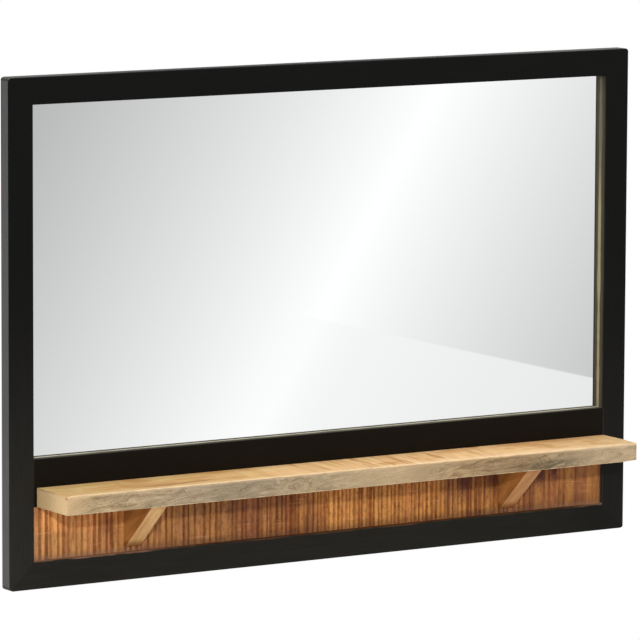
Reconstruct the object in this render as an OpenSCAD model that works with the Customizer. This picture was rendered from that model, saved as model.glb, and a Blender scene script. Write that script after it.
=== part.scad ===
// Wall mirror with a narrow shelf: a black solid-wood frame, a mirror held in a
// rebate, a saw-ribbed wood panel below it and a shelf on two wedge brackets.
// Origin: midway between the two keyhole hangers, in the plane of the frame's back.
// X runs to the right, Y points back to the wall, Z points up. Millimetres.

/* [Frame] */
// Overall width of the frame
frame_w = 800; // [600:10:1200]
// Overall height of the frame
frame_h = 550; // [420:10:900]
// Thickness of the frame, front face to back face
frame_t = 18; // [17:0.5:26]
// Width of the stiles and of the top and bottom rails
member_w = 30; // [28:1:50]
// Height of the middle rail that carries the shelf
mid_rail_h = 52; // [48:1:80]
// Height of the opening below the middle rail
panel_open_h = 59; // [56:1:90]
// Radius of the eased long edges of the frame members
arris_r = 1.5; // [0.5:0.25:2.5]
// Radius of the frame's four outer corners, seen from the front
corner_r = 5; // [1:0.5:8]

/* [Joints] */
// Diameter of the dowels in the mitres and at the ends of the middle rail
dowel_d = 8; // [6:0.5:8]
// Length of the dowel across each mitre
mitre_dowel_l = 26; // [16:1:28]
// Length of the dowels at the ends of the middle rail
rail_dowel_l = 40; // [24:1:44]
// Distance between the two dowels at each end of the middle rail
rail_dowel_gap = 18; // [14:1:22]
// Glue gap around every dowel
dowel_fit = 0.1; // [0.05:0.05:0.25]

/* [Mirror] */
// Thickness of the mirror glass
glass_t = 3; // [2:0.5:4]
// Width of the rebate that the mirror lies in
glass_rebate = 8; // [6:0.5:9]
// Clearance between the glass and the sides of its rebate
glass_fit = 1.5; // [0.5:0.25:2]
// Polished bevel round the front edge of the glass
glass_bevel = 0.8; // [0.3:0.1:1.2]
// Thickness of the board behind the mirror
board_t = 3; // [2:0.5:5]
// Width of the rebate for that board, along the top and middle rails
board_rebate = 16; // [15:0.5:17]
// Clearance between the board and the sides of its rebate
board_fit = 0.75; // [0.25:0.25:1.5]
// How far the board and the panel lie below the frame's back face
back_inset = 1; // [0.5:0.25:2]

/* [Panel] */
// Thickness of the ribbed panel
panel_t = 10; // [9:0.5:11]
// Width of the rebate that the panel lies in
panel_rebate = 8; // [7:0.5:9]
// Clearance between the panel and the sides of its rebate
panel_fit = 0.5; // [0.25:0.25:1]
// Mean distance from one saw cut to the next
rib_pitch = 6.4; // [5.6:0.1:9]
// Mean width of a saw cut
cut_w = 2.5; // [1:0.1:2.8]
// Depth of the saw cuts
cut_depth = 1.3; // [0.5:0.1:2]
// Smooth width left at the left end of the visible panel
margin_left = 6; // [4:1:40]
// Smooth width left at its right end
margin_right = 14; // [4:1:40]

/* [Shelf] */
// Depth of the shelf, from the frame's front face
shelf_d = 67; // [64:1:110]
// Thickness of the shelf
shelf_t = 21; // [18:0.5:28]
// Gap between each end of the shelf and the line of the stile's inner edge
shelf_end_gap = 1; // [0:0.5:40]
// How far the shelf sits to the right of the middle
shelf_shift = 2; // [0:0.5:4]
// Radius of the shelf's eased long edges
shelf_r = 1.5; // [0.5:0.25:2.5]

/* [Brackets] */
// Thickness of each bracket
bracket_t = 19; // [16:0.5:26]
// Depth of each bracket, from the panel's face along the shelf
bracket_d = 59; // [56:1:68]
// Height of each bracket, down the panel's face
bracket_h = 53.5; // [50:0.5:54]
// Blunt width left at both tips of a bracket
bracket_tip = 3; // [2:0.5:5]
// Distance from the side of the opening to the bracket's outer side
bracket_inset = 117; // [60:0.5:200]
// How far both brackets sit to the left of their even places
bracket_shift = 2.5; // [0:0.1:4]
// Diameter of the dowels between a bracket and the shelf
peg_d = 6; // [5:0.5:6]
// Length of those dowels
peg_l = 18; // [12:1:20]

/* [Screws] */
// Shank diameter of the shelf screws
shelf_screw_d = 4; // [3.5:0.5:4.5]
// Length of the shelf screws
shelf_screw_l = 45; // [35:1:60]
// Number of shelf screws
shelf_screw_n = 5; // [3:1:7]
// Distance from the shelf's ends to its first and last screws
shelf_screw_end = 60; // [45:1:90]
// Shank diameter of the bracket screws
bracket_screw_d = 3.5; // [3:0.5:4]
// Length of the bracket screws
bracket_screw_l = 24; // [20:1:25]
// Shank diameter of the small screws in the board, the panel and the hangers
small_screw_d = 3; // [2.5:0.1:3]
// Length of the board screws
board_screw_l = 12; // [8:0.5:14]
// Length of the panel screws
panel_screw_l = 14; // [12:0.5:15]
// Length of the hanger screws
hanger_screw_l = 14; // [8:0.5:15]
// Number of board screws along each long edge
board_screw_n = 5; // [3:1:7]
// Number of panel screws along each long edge
panel_screw_n = 4; // [3:1:6]
// Clearance round a screw in its hole
screw_fit = 0.1; // [0.05:0.05:0.2]

/* [Hangers] */
// Height from the hanger holes up to the top of the frame
hanger_drop = 75; // [60:1:120]
// Distance from the frame's side to the middle of the hanger plate
hanger_edge = 10.5; // [10:0.5:11.5]
// Width of the hanger plate
plate_w = 16; // [15:0.5:17]
// Length of the hanger plate
plate_l = 50; // [46:1:60]
// Thickness of the hanger plate
plate_t = 2; // [1.5:0.25:3]
// Radius of the keyhole's round entry, for the head of a wall screw
key_r = 4.75; // [4:0.25:5]
// Width of the keyhole's slot, for the shank of a wall screw
slot_w = 5; // [4:0.25:5]
// Height from the entry hole to the end of the slot's middle line
slot_rise = 10; // [8:0.5:11]
// Depth of the pocket behind the plate, for the head of a wall screw
pocket_depth = 7; // [5:0.5:9]
// Clearance round the plate in its recess
plate_fit = 0.15; // [0.1:0.05:0.3]

/* [Hidden] */

$fn = 48;
over = 1;                                     // how far a cutting shape runs past a face

// Heights, from the bottom of the frame upwards
z_bottom = hanger_drop - frame_h;
z_panel0 = z_bottom + member_w;               // lower opening, bottom edge
z_rail0 = z_panel0 + panel_open_h;            // underside of the middle rail and the shelf
z_rail1 = z_rail0 + mid_rail_h;               // top of the middle rail
z_open1 = hanger_drop - member_w;             // mirror opening, top edge
z_rail_mid = (z_rail0 + z_rail1) / 2;

// Half widths
half_w = frame_w / 2;
half_open = half_w - member_w;

// Depths, the back face of the frame being 0 and the front face being y_front
y_front = -frame_t;
y_inset = -back_inset;                        // back of the board and of the panel
y_board = y_inset - board_t;                  // back of the glass
y_glass = y_board - glass_t;                  // front of the glass
y_panel = y_inset - panel_t;                  // rib tops of the panel
y_mid = -frame_t / 2;

// Screw heads: countersunk, with a short straight rim
head_ratio = 1.9;                             // head diameter over shank diameter
rim_h = 0.4;
function head_r(d) = d * head_ratio / 2;

// Shelf and brackets, the left bracket first
shelf_l = 2 * half_open - 2 * shelf_end_gap;
head_land = 1.5;                              // wood left beside a screw head
z_shelf_screw = z_rail0 + panel_rebate + head_r(shelf_screw_d) + head_land;
bracket_x = [-1, 1] * (half_open - bracket_inset - bracket_t / 2) - [1, 1] * bracket_shift;
bracket_screw_drop = [15, 32];                // below the shelf's underside
peg_y = [bracket_d / 3, bracket_d * 2 / 3];   // from the panel's face

// Hangers
hanger_x = half_w - hanger_edge;
plate_screw_end = 5.5;                        // from the plate's end to its screw
z_plate = slot_rise / 2;                      // middle of the plate's length
z_plate_screw = plate_l / 2 - plate_screw_end;
pocket_fit = 0.75;                            // room round the head of the wall screw

// Saw cuts of the panel, made by hand: they lie closest a little right of the
// middle, and each one's place, width and depth wanders
rib_span = 2 * half_open - margin_left - margin_right;
rib_middle = (margin_left - margin_right) / 2;
rib_count = floor(rib_span / rib_pitch);
cut_bunch = 0.028;                            // how much the cuts crowd together
cut_closest = 0.08;                           // where they do, as a share of the span
function cut_share(i) = (i + 0.5) / rib_count - 0.5;
function cut_swing(t) = cut_bunch * sin(360 * (t - cut_closest));
function cut_x(i) = rib_middle
    + rib_span * (cut_share(i) - cut_swing(cut_share(i)) + cut_swing(0.5))
    + 0.11 * rib_pitch * (sin(137.5 * i) + 0.8 * sin(59 * i));
function cut_half(i) = cut_w / 2 * (1 + 0.28 * sin(97 * i) + 0.2 * sin(41 * i + 30));
function cut_deep(i) = cut_depth * (1 - 0.18 * (1 + sin(151 * i)));

// Colours
black_lacquer = [0.11, 0.105, 0.10];
raw_wood = [0.80, 0.62, 0.40];
ribbed_wood = [0.70, 0.46, 0.26];
dowel_wood = [0.82, 0.70, 0.52];
board_brown = [0.48, 0.36, 0.25];
silvered = [0.86, 0.89, 0.90];
zinc = [0.72, 0.72, 0.70];

// A bar's cross-section: w by t, from the origin, with rounded corners
module bar_section(w, t, r) {
    translate([r, 0]) square([w - 2 * r, t]);
    translate([0, r]) square([w, t - 2 * r]);
    for (x = [r, w - r], y = [r, t - r]) translate([x, y]) circle(r);
}

// A block between two corners
module block(a, b) {
    translate(a) cube(b - a);
}

// A cylinder of radius r along Y, from y0 to y1, at x and z
module rod_y(x, z, r, y0, y1) {
    translate([x, y0, z]) rotate([-90, 0, 0]) cylinder(r = r, h = y1 - y0);
}

// A countersunk wood screw driven in along -Y, its head's face at y = 0.
// A fit above 0 gives the hole that it sits in.
module screw_form(d, l, fit) {
    r = d / 2 + fit;
    hr = head_r(d) + fit;
    tip = d / 2;
    rotate([90, 0, 0]) rotate_extrude() polygon([
        [0, 0], [hr, 0], [hr, rim_h + fit], [r, rim_h + fit + hr - r],
        [r, l - tip], [r / 3, l + fit], [0, l + fit]
    ]);
}

module screw(d, l) {
    bit = d * 0.17;                           // width of the cross slot
    reach = head_r(d) * 0.62;
    deep = d * 0.5;
    difference() {
        screw_form(d, l, 0);
        for (turn = [0, 90]) rotate([0, turn, 0])
            block([-reach, -deep, -bit], [reach, over, bit]);
    }
}

// ---------- Frame ----------

// The rebates that are cut into the frame from behind, and every hole in it
module frame_cuts() {
    block([-half_open - glass_rebate, y_glass, z_rail1 - glass_rebate],
          [half_open + glass_rebate, over, z_open1 + glass_rebate]);
    block([-half_open - glass_rebate, y_board, z_rail1 - board_rebate],
          [half_open + glass_rebate, over, z_open1 + board_rebate]);
    block([-half_open - panel_rebate, y_panel, z_panel0 - panel_rebate],
          [half_open + panel_rebate, over, z_rail0 + panel_rebate]);
    place_mitre_dowels(dowel_fit);
    place_rail_dowels(dowel_fit);
    place_board_screws() screw_form(small_screw_d, board_screw_l, screw_fit);
    place_panel_screws() screw_form(small_screw_d, panel_screw_l, screw_fit);
    place_shelf_screws() screw_form(shelf_screw_d, shelf_screw_l, screw_fit);
    for (side = [-1, 1]) hanger_recess(side * hanger_x);
    place_hanger_screws() screw_form(small_screw_d, hanger_screw_l, screw_fit);
}

// The outer outline of the frame with its rounded corners, as a solid slab
module outline_slab() {
    translate([-half_w, over, z_bottom]) rotate([90, 0, 0])
        linear_extrude(frame_t + 2 * over) bar_section(frame_w, frame_h, corner_r);
}

// A stile, standing at the left, with its two mitred ends
module left_stile_body() {
    intersection() {
        translate([-half_w, y_front, z_bottom])
            linear_extrude(frame_h) bar_section(member_w, frame_t, arris_r);
        translate([-half_w, over, z_bottom]) rotate([90, 0, 0])
            linear_extrude(frame_t + 2 * over) polygon([
                [0, 0], [member_w, member_w],
                [member_w, frame_h - member_w], [0, frame_h]
            ]);
        outline_slab();
    }
}

// The bottom rail, with its two mitred ends; flip turns it into the top rail
module rail_body(flip) {
    z0 = flip ? hanger_drop - member_w : z_bottom;
    inner = flip ? 0 : member_w;
    outer = member_w - inner;
    intersection() {
        translate([-half_w, 0, z0]) rotate([90, 0, 90])
            linear_extrude(frame_w) translate([y_front, 0])
                bar_section(frame_t, member_w, arris_r);
        translate([-half_w, over, z0]) rotate([90, 0, 0])
            linear_extrude(frame_t + 2 * over) polygon([
                [0, outer], [frame_w, outer],
                [frame_w - member_w, inner], [member_w, inner]
            ]);
        outline_slab();
    }
}

module left_stile() {
    color(black_lacquer) difference() {
        left_stile_body();
        frame_cuts();
    }
}

module right_stile() {
    color(black_lacquer) difference() {
        mirror([1, 0, 0]) left_stile_body();
        frame_cuts();
    }
}

module top_rail() {
    color(black_lacquer) difference() {
        rail_body(true);
        frame_cuts();
    }
}

module bottom_rail() {
    color(black_lacquer) difference() {
        rail_body(false);
        frame_cuts();
    }
}

// The middle rail, which butts between the stiles
module middle_rail() {
    color(black_lacquer) difference() {
        translate([-half_open, 0, z_rail0]) rotate([90, 0, 90])
            linear_extrude(2 * half_open) translate([y_front, 0])
                bar_section(frame_t, mid_rail_h, arris_r);
        frame_cuts();
    }
}

// ---------- Dowels ----------

module dowel(d, l, fit) {
    cylinder(r = d / 2 + fit, h = l + 2 * fit, center = true);
}

// One dowel square across each mitre
module place_mitre_dowels(fit) {
    for (sx = [-1, 1], top = [0, 1]) {
        z = top ? hanger_drop - member_w / 2 : z_bottom + member_w / 2;
        lean = (top ? 1 : -1) * sx * 45;
        translate([sx * (half_w - member_w / 2), y_mid, z])
            rotate([0, -lean, 0]) dowel(dowel_d, mitre_dowel_l, fit);
    }
}

// Two dowels at each end of the middle rail
module place_rail_dowels(fit) {
    for (sx = [-1, 1], sz = [-1, 1])
        translate([sx * half_open, y_mid, z_rail_mid + sz * rail_dowel_gap / 2])
            rotate([0, 90, 0]) dowel(dowel_d, rail_dowel_l, fit);
}

module mitre_dowels() {
    color(dowel_wood) place_mitre_dowels(0);
}

module middle_rail_dowels() {
    color(dowel_wood) place_rail_dowels(0);
}

// ---------- Mirror ----------

// The glass, with a polished bevel all round its front edge
module mirror_glass() {
    gx = half_open + glass_rebate - glass_fit;
    gz0 = z_rail1 - glass_rebate + glass_fit;
    gz1 = z_open1 + glass_rebate - glass_fit;
    color(silvered) difference() {
        block([-gx, y_glass, gz0], [gx, y_board, gz1]);
        for (sx = [-1, 1]) translate([sx * gx, y_glass, gz0 - over])
            rotate([0, 0, 45]) translate([-glass_bevel, -glass_bevel, 0] / sqrt(2))
                cube([glass_bevel, glass_bevel, (gz1 - gz0 + 2 * over) / sqrt(2)] * sqrt(2));
        for (z = [gz0, gz1]) translate([-gx - over, y_glass, z])
            rotate([45, 0, 0]) translate([0, -glass_bevel, -glass_bevel] / sqrt(2))
                cube([(2 * gx + 2 * over) / sqrt(2), glass_bevel, glass_bevel] * sqrt(2));
    }
}

module mirror_back_board() {
    bx = half_open + glass_rebate - board_fit;
    color(board_brown) difference() {
        block([-bx, y_board, z_rail1 - board_rebate + board_fit],
              [bx, y_inset, z_open1 + board_rebate - board_fit]);
        place_board_screws() screw_form(small_screw_d, board_screw_l, screw_fit);
    }
}

// Screws along the board's top and bottom edges, beyond the glass
module place_board_screws() {
    inset = (board_rebate - glass_rebate + glass_fit) / 2;
    pitch = 2 * (half_open - member_w) / (board_screw_n - 1);
    for (i = [0:board_screw_n - 1], z = [z_rail1 - board_rebate + inset, z_open1 + board_rebate - inset])
        translate([(i - (board_screw_n - 1) / 2) * pitch, y_inset, z]) children();
}

module back_board_screws() {
    color(zinc) place_board_screws() screw(small_screw_d, board_screw_l);
}

// ---------- Ribbed panel ----------

// The panel's plan: a plain board whose front is sawn into upright ribs
module ribbed_panel() {
    px = half_open + panel_rebate - panel_fit;
    z0 = z_panel0 - panel_rebate + panel_fit;
    z1 = z_rail0 + panel_rebate - panel_fit;
    color(ribbed_wood) difference() {
        translate([0, 0, z0]) linear_extrude(z1 - z0) polygon(concat(
            [[px, y_inset], [-px, y_inset], [-px, y_panel]],
            [for (i = [0:rib_count - 1], side = [-2, -1, 1, 2])
                [cut_x(i) + sign(side) * cut_half(i) * (abs(side) == 2 ? 1 : 0.45),
                 y_panel + (abs(side) == 2 ? 0 : cut_deep(i))]],
            [[px, y_panel]]
        ));
        place_panel_screws() screw_form(small_screw_d, panel_screw_l, screw_fit);
        place_bracket_screws() screw_form(bracket_screw_d, bracket_screw_l, screw_fit);
    }
}

// Screws along the panel's top and bottom edges, into the lip of the rebate
module place_panel_screws() {
    inset = panel_rebate / 2;
    pitch = 2 * (half_open - member_w) / (panel_screw_n - 1);
    for (i = [0:panel_screw_n - 1], z = [z_panel0 - inset, z_rail0 + inset])
        translate([(i - (panel_screw_n - 1) / 2) * pitch, y_inset, z]) children();
}

module panel_screws() {
    color(zinc) place_panel_screws() screw(small_screw_d, panel_screw_l);
}

// ---------- Shelf ----------

module shelf_board() {
    color(raw_wood) difference() {
        translate([shelf_shift - shelf_l / 2, y_front - shelf_d, z_rail0]) rotate([90, 0, 90])
            linear_extrude(shelf_l) bar_section(shelf_d, shelf_t, shelf_r);
        place_shelf_screws() screw_form(shelf_screw_d, shelf_screw_l, screw_fit);
        place_bracket_dowels(dowel_fit);
    }
}

// Screws from behind, through the middle rail and into the shelf's back edge
module place_shelf_screws() {
    pitch = (shelf_l - 2 * shelf_screw_end) / (shelf_screw_n - 1);
    for (i = [0:shelf_screw_n - 1])
        translate([shelf_shift + (i - (shelf_screw_n - 1) / 2) * pitch, 0, z_shelf_screw])
            children();
}

module shelf_screws() {
    color(zinc) place_shelf_screws() screw(shelf_screw_d, shelf_screw_l);
}

// ---------- Brackets ----------

// A solid wedge: upright against the panel, level under the shelf, sloping in front
module bracket(x) {
    color(raw_wood) difference() {
        translate([x - bracket_t / 2, y_panel, z_rail0]) rotate([90, 0, 90])
            linear_extrude(bracket_t) polygon([
                [0, 0], [0, -bracket_h], [-bracket_tip, -bracket_h],
                [-bracket_d, -bracket_tip], [-bracket_d, 0]
            ]);
        place_bracket_dowels(dowel_fit);
        place_bracket_screws() screw_form(bracket_screw_d, bracket_screw_l, screw_fit);
    }
}

module left_bracket() {
    bracket(bracket_x[0]);
}

module right_bracket() {
    bracket(bracket_x[1]);
}

// Upright dowels, half in the bracket and half in the shelf
module place_bracket_dowels(fit) {
    for (x = bracket_x, y = peg_y)
        translate([x, y_panel - y, z_rail0]) dowel(peg_d, peg_l, fit);
}

module bracket_dowels() {
    color(dowel_wood) place_bracket_dowels(0);
}

// Screws from behind, through the panel and into the bracket's back
module place_bracket_screws() {
    for (x = bracket_x, drop = bracket_screw_drop)
        translate([x, y_inset, z_rail0 - drop]) children();
}

module bracket_screws() {
    color(zinc) place_bracket_screws() screw(bracket_screw_d, bracket_screw_l);
}

// ---------- Hangers ----------

// A flat shape with round ends, w wide and l long, thickness t in front of y = 0
module tablet(w, l, t) {
    rotate([90, 0, 0]) linear_extrude(t) {
        square([w, l - w], center = true);
        for (s = [-1, 1]) translate([0, s * (l - w) / 2]) circle(w / 2);
    }
}

// The recess for the plate in the stile, and the pocket behind its keyhole
module hanger_recess(x) {
    room_w = 2 * (key_r + pocket_fit);
    translate([x, over, z_plate])
        tablet(plate_w + 2 * plate_fit, plate_l + 2 * plate_fit, plate_t + over);
    translate([x, over, z_plate])
        tablet(room_w, slot_rise + room_w, plate_t + pocket_depth + over);
}

// A steel plate with a keyhole: the wall screw's head goes in at the round
// entry and the plate drops until the shank reaches the top of the slot
module hanger_plate(x) {
    color(zinc) difference() {
        translate([x, 0, z_plate]) tablet(plate_w, plate_l, plate_t);
        rod_y(x, 0, key_r, -plate_t - over, over);
        rod_y(x, slot_rise, slot_w / 2, -plate_t - over, over);
        block([x - slot_w / 2, -plate_t - over, 0], [x + slot_w / 2, over, slot_rise]);
        place_hanger_screws() screw_form(small_screw_d, hanger_screw_l, screw_fit);
    }
}

module left_hanger_plate() {
    hanger_plate(-hanger_x);
}

module right_hanger_plate() {
    hanger_plate(hanger_x);
}

module place_hanger_screws() {
    for (sx = [-1, 1], sz = [-1, 1])
        translate([sx * hanger_x, 0, z_plate + sz * z_plate_screw]) children();
}

module hanger_screws() {
    color(zinc) place_hanger_screws() screw(small_screw_d, hanger_screw_l);
}

left_stile();
right_stile();
top_rail();
middle_rail();
bottom_rail();
mitre_dowels();
middle_rail_dowels();
mirror_glass();
mirror_back_board();
back_board_screws();
ribbed_panel();
panel_screws();
shelf_board();
shelf_screws();
left_bracket();
right_bracket();
bracket_dowels();
bracket_screws();
left_hanger_plate();
right_hanger_plate();
hanger_screws();
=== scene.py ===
"""The looks of a black-framed wall mirror with a raw-wood shelf over a saw-ribbed panel.

Metres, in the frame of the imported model: X to the right, Y back to the wall, Z up.
"""

import math

import bpy
import numpy as np
from mathutils import Matrix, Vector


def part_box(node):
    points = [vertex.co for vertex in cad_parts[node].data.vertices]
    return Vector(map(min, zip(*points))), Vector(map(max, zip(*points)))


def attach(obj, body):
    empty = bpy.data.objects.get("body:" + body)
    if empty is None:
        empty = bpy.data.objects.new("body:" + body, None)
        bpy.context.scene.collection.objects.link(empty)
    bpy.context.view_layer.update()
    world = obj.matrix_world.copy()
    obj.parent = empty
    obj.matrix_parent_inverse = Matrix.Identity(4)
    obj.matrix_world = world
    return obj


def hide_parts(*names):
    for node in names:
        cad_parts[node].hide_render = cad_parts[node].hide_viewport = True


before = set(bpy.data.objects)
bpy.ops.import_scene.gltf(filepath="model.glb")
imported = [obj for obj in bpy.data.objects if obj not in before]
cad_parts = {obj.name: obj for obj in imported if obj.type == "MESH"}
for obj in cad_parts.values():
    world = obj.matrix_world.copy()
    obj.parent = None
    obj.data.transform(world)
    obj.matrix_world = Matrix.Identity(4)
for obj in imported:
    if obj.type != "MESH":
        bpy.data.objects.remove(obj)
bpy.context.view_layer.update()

# ---------- Camera ----------
# The photographer stood well to the left of the mirror and a little above it, a long way
# back, with a long lens. The picture is square.

eye = (-3.1325, -4.9852, 0.5645)
heading = math.radians(32.146)            # from +Y towards +X
dip = math.radians(7.501)                 # below the horizon
tilt = math.radians(0.249)                # the right side up
focal_pixels = 5389.2
picture_pixels = 640

camera_data = bpy.data.cameras.new("camera")
camera_data.sensor_width = 36.0
camera_data.lens = focal_pixels * camera_data.sensor_width / picture_pixels
camera = bpy.data.objects.new("camera", camera_data)
camera.location = eye
aim = Matrix.Rotation(-heading, 3, "Z") @ Matrix.Rotation(math.pi / 2 - dip, 3, "X")
camera.rotation_euler = (aim @ Matrix.Rotation(tilt, 3, "Z")).to_euler()
bpy.context.scene.collection.objects.link(camera)
bpy.context.scene.camera = camera
bpy.context.scene.view_settings.view_transform = "Standard"

# ---------- Studio ----------
# A white room: plain light from everywhere, one small lamp high behind the camera, a wide
# soft box overhead and another behind. Shiny things see the room's walls as wide soft
# bands of light, which is what the mirror shows.


def join(value, socket):
    """Leads a node's output into an input, or sets the input to a number or a colour."""
    if isinstance(value, bpy.types.NodeSocket):
        socket.id_data.links.new(value, socket)
    else:
        socket.default_value = value


def shade(tree, kind, inputs, **settings):
    """Adds one node to a tree and gives its first output. Each input is a number, a colour
    or another node's output, under the input's name or its number."""
    node = tree.nodes.new("ShaderNode" + kind)
    for name, value in settings.items():
        setattr(node, name, value)
    for name, value in inputs.items():
        join(value, node.inputs[name])
    return node.outputs[0] if node.outputs else node


def tree_of(*values):
    """The node tree of the first of these values that is a node's output."""
    return next(value.id_data for value in values if isinstance(value, bpy.types.NodeSocket))


def calc(operation, a, b=0.0, c=0.0):
    """One sum on numbers: its operation, and up to three numbers or outputs."""
    return shade(tree_of(a, b, c), "Math", {0: a, 1: b, 2: c}, operation=operation)


def times(a, b, plus=0.0):
    """The product of two numbers or outputs, with a third added to it."""
    return calc("MULTIPLY_ADD", a, b, plus)


def mix(share, first, second, way="MIX"):
    """Mixes two colours: the first where share is 0, and the second where it is 1."""
    node = tree_of(share, first, second).nodes.new("ShaderNodeMix")
    node.data_type = "RGBA"
    node.blend_type = way
    for slot, value in ((0, share), (6, first), (7, second)):
        join(value, node.inputs[slot])
    return node.outputs[2]


def rise(value, low, high):
    """0 below low and 1 above high, with a smooth step between. Low may be the larger."""
    return shade(
        tree_of(value), "MapRange", {"Value": value, "From Min": low, "From Max": high},
        interpolation_type="SMOOTHSTEP")


def gray(value):
    """A plain gray, from 0 for black to 1 for white, as a linear colour."""
    return (value, value, value, 1.0)


def room_direction(normal):
    """How far a ray of the room points off a plane through the object, in degrees."""
    sine = shade(room, "VectorMath", {0: shade(room, "TexCoord", {}), 1: normal},
                 operation="DOT_PRODUCT").node.outputs["Value"]
    return times(calc("ARCSINE", sine), 180 / math.pi)


plain_light = 0.55
band_normal = (0.7204, 0.5232, -0.4553)   # off the bright line of the nearest soft band
band_peak = 260.0                         # screen level at the bright line
band_fall = 19.4                          # levels lost for each degree away from it
band_half = 5.28                          # degrees from a bright line to the next dark one
floor_card_normal = (-0.2417, -0.0013, -0.9704)     # off the edge of the floor's reflection
floor_card_level = 248.0
floor_card_share = 0.74

world = bpy.data.worlds.new("studio")
bpy.context.scene.world = world
world.use_nodes = True
room = world.node_tree
room.nodes.clear()
from_band = room_direction(band_normal)
off_band = calc("PINGPONG", calc("ABSOLUTE", from_band), band_half)
band = times(off_band, -band_fall, band_peak)
card_edge = rise(room_direction(floor_card_normal), 0.0, 0.02)
card_fade = rise(from_band, -0.6, 1.0)
card = times(times(card_edge, card_fade), floor_card_share)
seen = times(calc("SUBTRACT", floor_card_level, band), card, band)
screen_share = calc("DIVIDE", times(seen, 1 / 255, 0.055), 1.055)
shiny_light = calc("POWER", screen_share, 2.4)
path = shade(room, "LightPath", {}).node.outputs
light = mix(path["Is Glossy Ray"], gray(plain_light), shiny_light)
light = mix(path["Is Camera Ray"], light, gray(1.0))
shade(room, "OutputWorld", {"Surface": shade(room, "Background", {"Color": light})})


def lamp(name, kind, power, place, target, **settings):
    """A lamp at place that shines towards target."""
    data = bpy.data.lights.new(name, kind)
    data.energy = power
    for key, value in settings.items():
        setattr(data, key, value)
    lit = bpy.data.objects.new(name, data)
    lit.location = place
    east, north, up = np.subtract(target, place)
    climb = math.atan2(up, math.hypot(east, north))
    lit.rotation_euler = (math.pi / 2 + climb, 0, -math.atan2(east, north))
    bpy.context.scene.collection.objects.link(lit)


middle = (0.0, 0.0, -0.2)
key_heading = math.radians(31)            # the key lamp stands behind the camera
key_height = math.radians(18.2)
key_distance = 3.0
key_flat = key_distance * math.cos(key_height)
key_place = (-key_flat * math.sin(key_heading), -key_flat * math.cos(key_heading),
             key_distance * math.sin(key_height) + middle[2])
lamp("key", "SUN", 1.1, key_place, middle, angle=math.radians(2.5))
lamp("overhead", "AREA", 24, (0.1, -0.9, 1.6), (0, -0.1, -0.3), shape="RECTANGLE", size=2.2,
     size_y=1.0)
lamp("behind", "AREA", 56, (-2.0, 2.5, -0.3), middle, shape="RECTANGLE", size=1.8, size_y=2.2)

floor_height = -1.4
floor_radius = 5.5
floor_gray = 0.82
bpy.ops.mesh.primitive_circle_add(
    vertices=96, radius=floor_radius, fill_type="NGON", location=(0, 0, floor_height))
floor = bpy.context.active_object
floor.name = "floor"
floor_paint = bpy.data.materials.new("floor_paint")
floor_paint.use_nodes = True
tree = floor_paint.node_tree
tree.nodes.clear()
place = shade(tree, "TexCoord", {}).node.outputs["Object"]
reach = shade(tree, "VectorMath", {0: place}, operation="LENGTH").node.outputs["Value"]
far = shade(tree, "MapRange", {
    "Value": reach, "From Min": 1.0, "From Max": 4.5, "To Min": 0.85, "To Max": 1.0})
glow_share = times(shade(tree, "LightPath", {}).node.outputs["Is Camera Ray"], far)
matt = shade(tree, "BsdfDiffuse", {"Color": gray(floor_gray)})
glow = shade(tree, "Emission", {"Color": gray(1.0)})
shade(tree, "OutputMaterial", {
    "Surface": shade(tree, "MixShader", {0: glow_share, 1: matt, 2: glow})})
floor.data.materials.append(floor_paint)

# ---------- Frame ----------
# Five members of solid wood, 18 mm thick, glued with dowels and sprayed satin black. The
# lacquer is thin on the inner edges, so bare wood shows there beside the mirror and panel.

MM = 0.001


def new_material(name, specular=0.5):
    """An empty material with its tree and its principled shader node."""
    material = bpy.data.materials.new(name)
    material.use_nodes = True
    tree = material.node_tree
    tree.nodes.clear()
    surface = tree.nodes.new("ShaderNodeBsdfPrincipled")
    surface.inputs["Specular IOR Level"].default_value = specular
    shade(tree, "OutputMaterial", {"Surface": surface.outputs[0]})
    return material, tree, surface


def finish(surface, colour, roughness, height=None, depth=0.1 * MM, strength=0.6):
    """Joins a colour, a roughness and a height, if any, to a principled shader. Depth is
    how far the height stands out, in metres."""
    join(colour, surface.inputs["Base Color"])
    join(roughness, surface.inputs["Roughness"])
    if height is not None:
        bump = {"Strength": strength, "Distance": depth, "Height": height}
        join(shade(surface.id_data, "Bump", bump), surface.inputs["Normal"])


def point_on(tree):
    """The point on the object, in metres."""
    return shade(tree, "TexCoord", {}).node.outputs["Object"]


def split(vector):
    """The X, Y and Z of a point or a direction, by name."""
    return shade(tree_of(vector), "SeparateXYZ", {"Vector": vector}).node.outputs


def facing(tree):
    """The X, Y and Z of the direction in which the surface faces."""
    return split(shade(tree, "NewGeometry", {}).node.outputs["Normal"])


def place_on(tree, scale, turn=(0, 0, 0), shift=(0, 0, 0)):
    """The point on the object, moved by shift, turned and then scaled along each axis."""
    turned = shade(tree, "Mapping", {
        "Vector": point_on(tree), "Location": shift, "Rotation": turn})
    return shade(tree, "Mapping", {"Vector": turned, "Scale": scale})


def noise(place, detail, roughness=0.5, distortion=0.0):
    """Soft noise from 0 to 1 at a place, with about one feature in each unit of it."""
    return shade(tree_of(place), "TexNoise", {
        "Vector": place, "Scale": 1.0, "Detail": detail,
        "Roughness": roughness, "Distortion": distortion})


def levels(red, green, blue):
    """A colour from its screen levels, 0 to 255, as the linear colour that shaders take."""
    screen = np.array([red, green, blue]) / 255
    linear = np.where(screen <= 0.04045, screen / 12.92, ((screen + 0.055) / 1.055) ** 2.4)
    return (*linear.tolist(), 1.0)


def off(value, line):
    """How far a value is from a line, either way."""
    return calc("ABSOLUTE", calc("SUBTRACT", value, line))


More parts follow.
